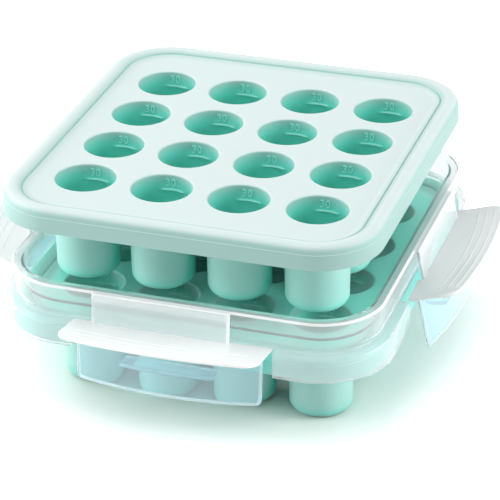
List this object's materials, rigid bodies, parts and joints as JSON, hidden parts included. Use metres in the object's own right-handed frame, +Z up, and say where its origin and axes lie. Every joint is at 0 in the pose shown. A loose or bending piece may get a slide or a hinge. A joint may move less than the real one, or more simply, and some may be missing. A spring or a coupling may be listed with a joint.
{
  "type": "freezer tray set",
  "caption": "Stacked silicone freezer trays with round cups; the lower tray has a clear clip-on lid with hinged latch flaps, the upper tray stands in the lid's recess.",
  "frame": {"origin": "centre of the lower tray, on the surface that its cups stand on", "axes": "+Z up through the stack, the shortest way through it; +X to the right and +Y to the back of the lower tray, along its short and its long side"},
  "size_m": [0.2704, 0.287, 0.1183],
  "materials": {
    "silicone": "satin",
    "clear_plastic": "frosted"
  },
  "bodies": {
    "lower_tray": {"lower_tray_panel": "silicone", "lower_tray_cups": "silicone"},
    "lid": {"lid": "clear_plastic"},
    "upper_tray": {"upper_tray_panel": "silicone", "upper_tray_cups": "silicone"},
    "front_latch": {"front_latch": "clear_plastic"},
    "right_latch": {"right_latch": "clear_plastic"},
    "back_latch": {"back_latch": "clear_plastic"},
    "left_latch": {"left_latch": "clear_plastic"}
  },
  "joints": [
    {"name": "lid_lift", "type": "slide", "parent": "lower_tray", "child": "lid", "axis": [0, 0, 1], "range_m": [0, 0.05]},
    {"name": "upper_tray_lift", "type": "slide", "parent": "lid", "child": "upper_tray", "axis": [0, 0, 1], "range_m": [0, 0.05]},
    {"name": "front_latch_hinge", "type": "hinge", "parent": "lid", "child": "front_latch", "pos_m": [-0.0076, -0.112, 0.0744], "axis": [-1, 0, 0], "range_deg": [-5.5, 94.5]},
    {"name": "right_latch_hinge", "type": "hinge", "parent": "lid", "child": "right_latch", "pos_m": [0.1025, 0.018, 0.0744], "axis": [0, -1, 0], "range_deg": [-12, 88]},
    {"name": "back_latch_hinge", "type": "hinge", "parent": "lid", "child": "back_latch", "pos_m": [0.0076, 0.112, 0.0744], "axis": [1, 0, 0], "range_deg": [-5.5, 94.5]},
    {"name": "left_latch_hinge", "type": "hinge", "parent": "lid", "child": "left_latch", "pos_m": [-0.1025, -0.018, 0.0744], "axis": [0, 1, 0], "range_deg": [-12, 88]}
  ]
}
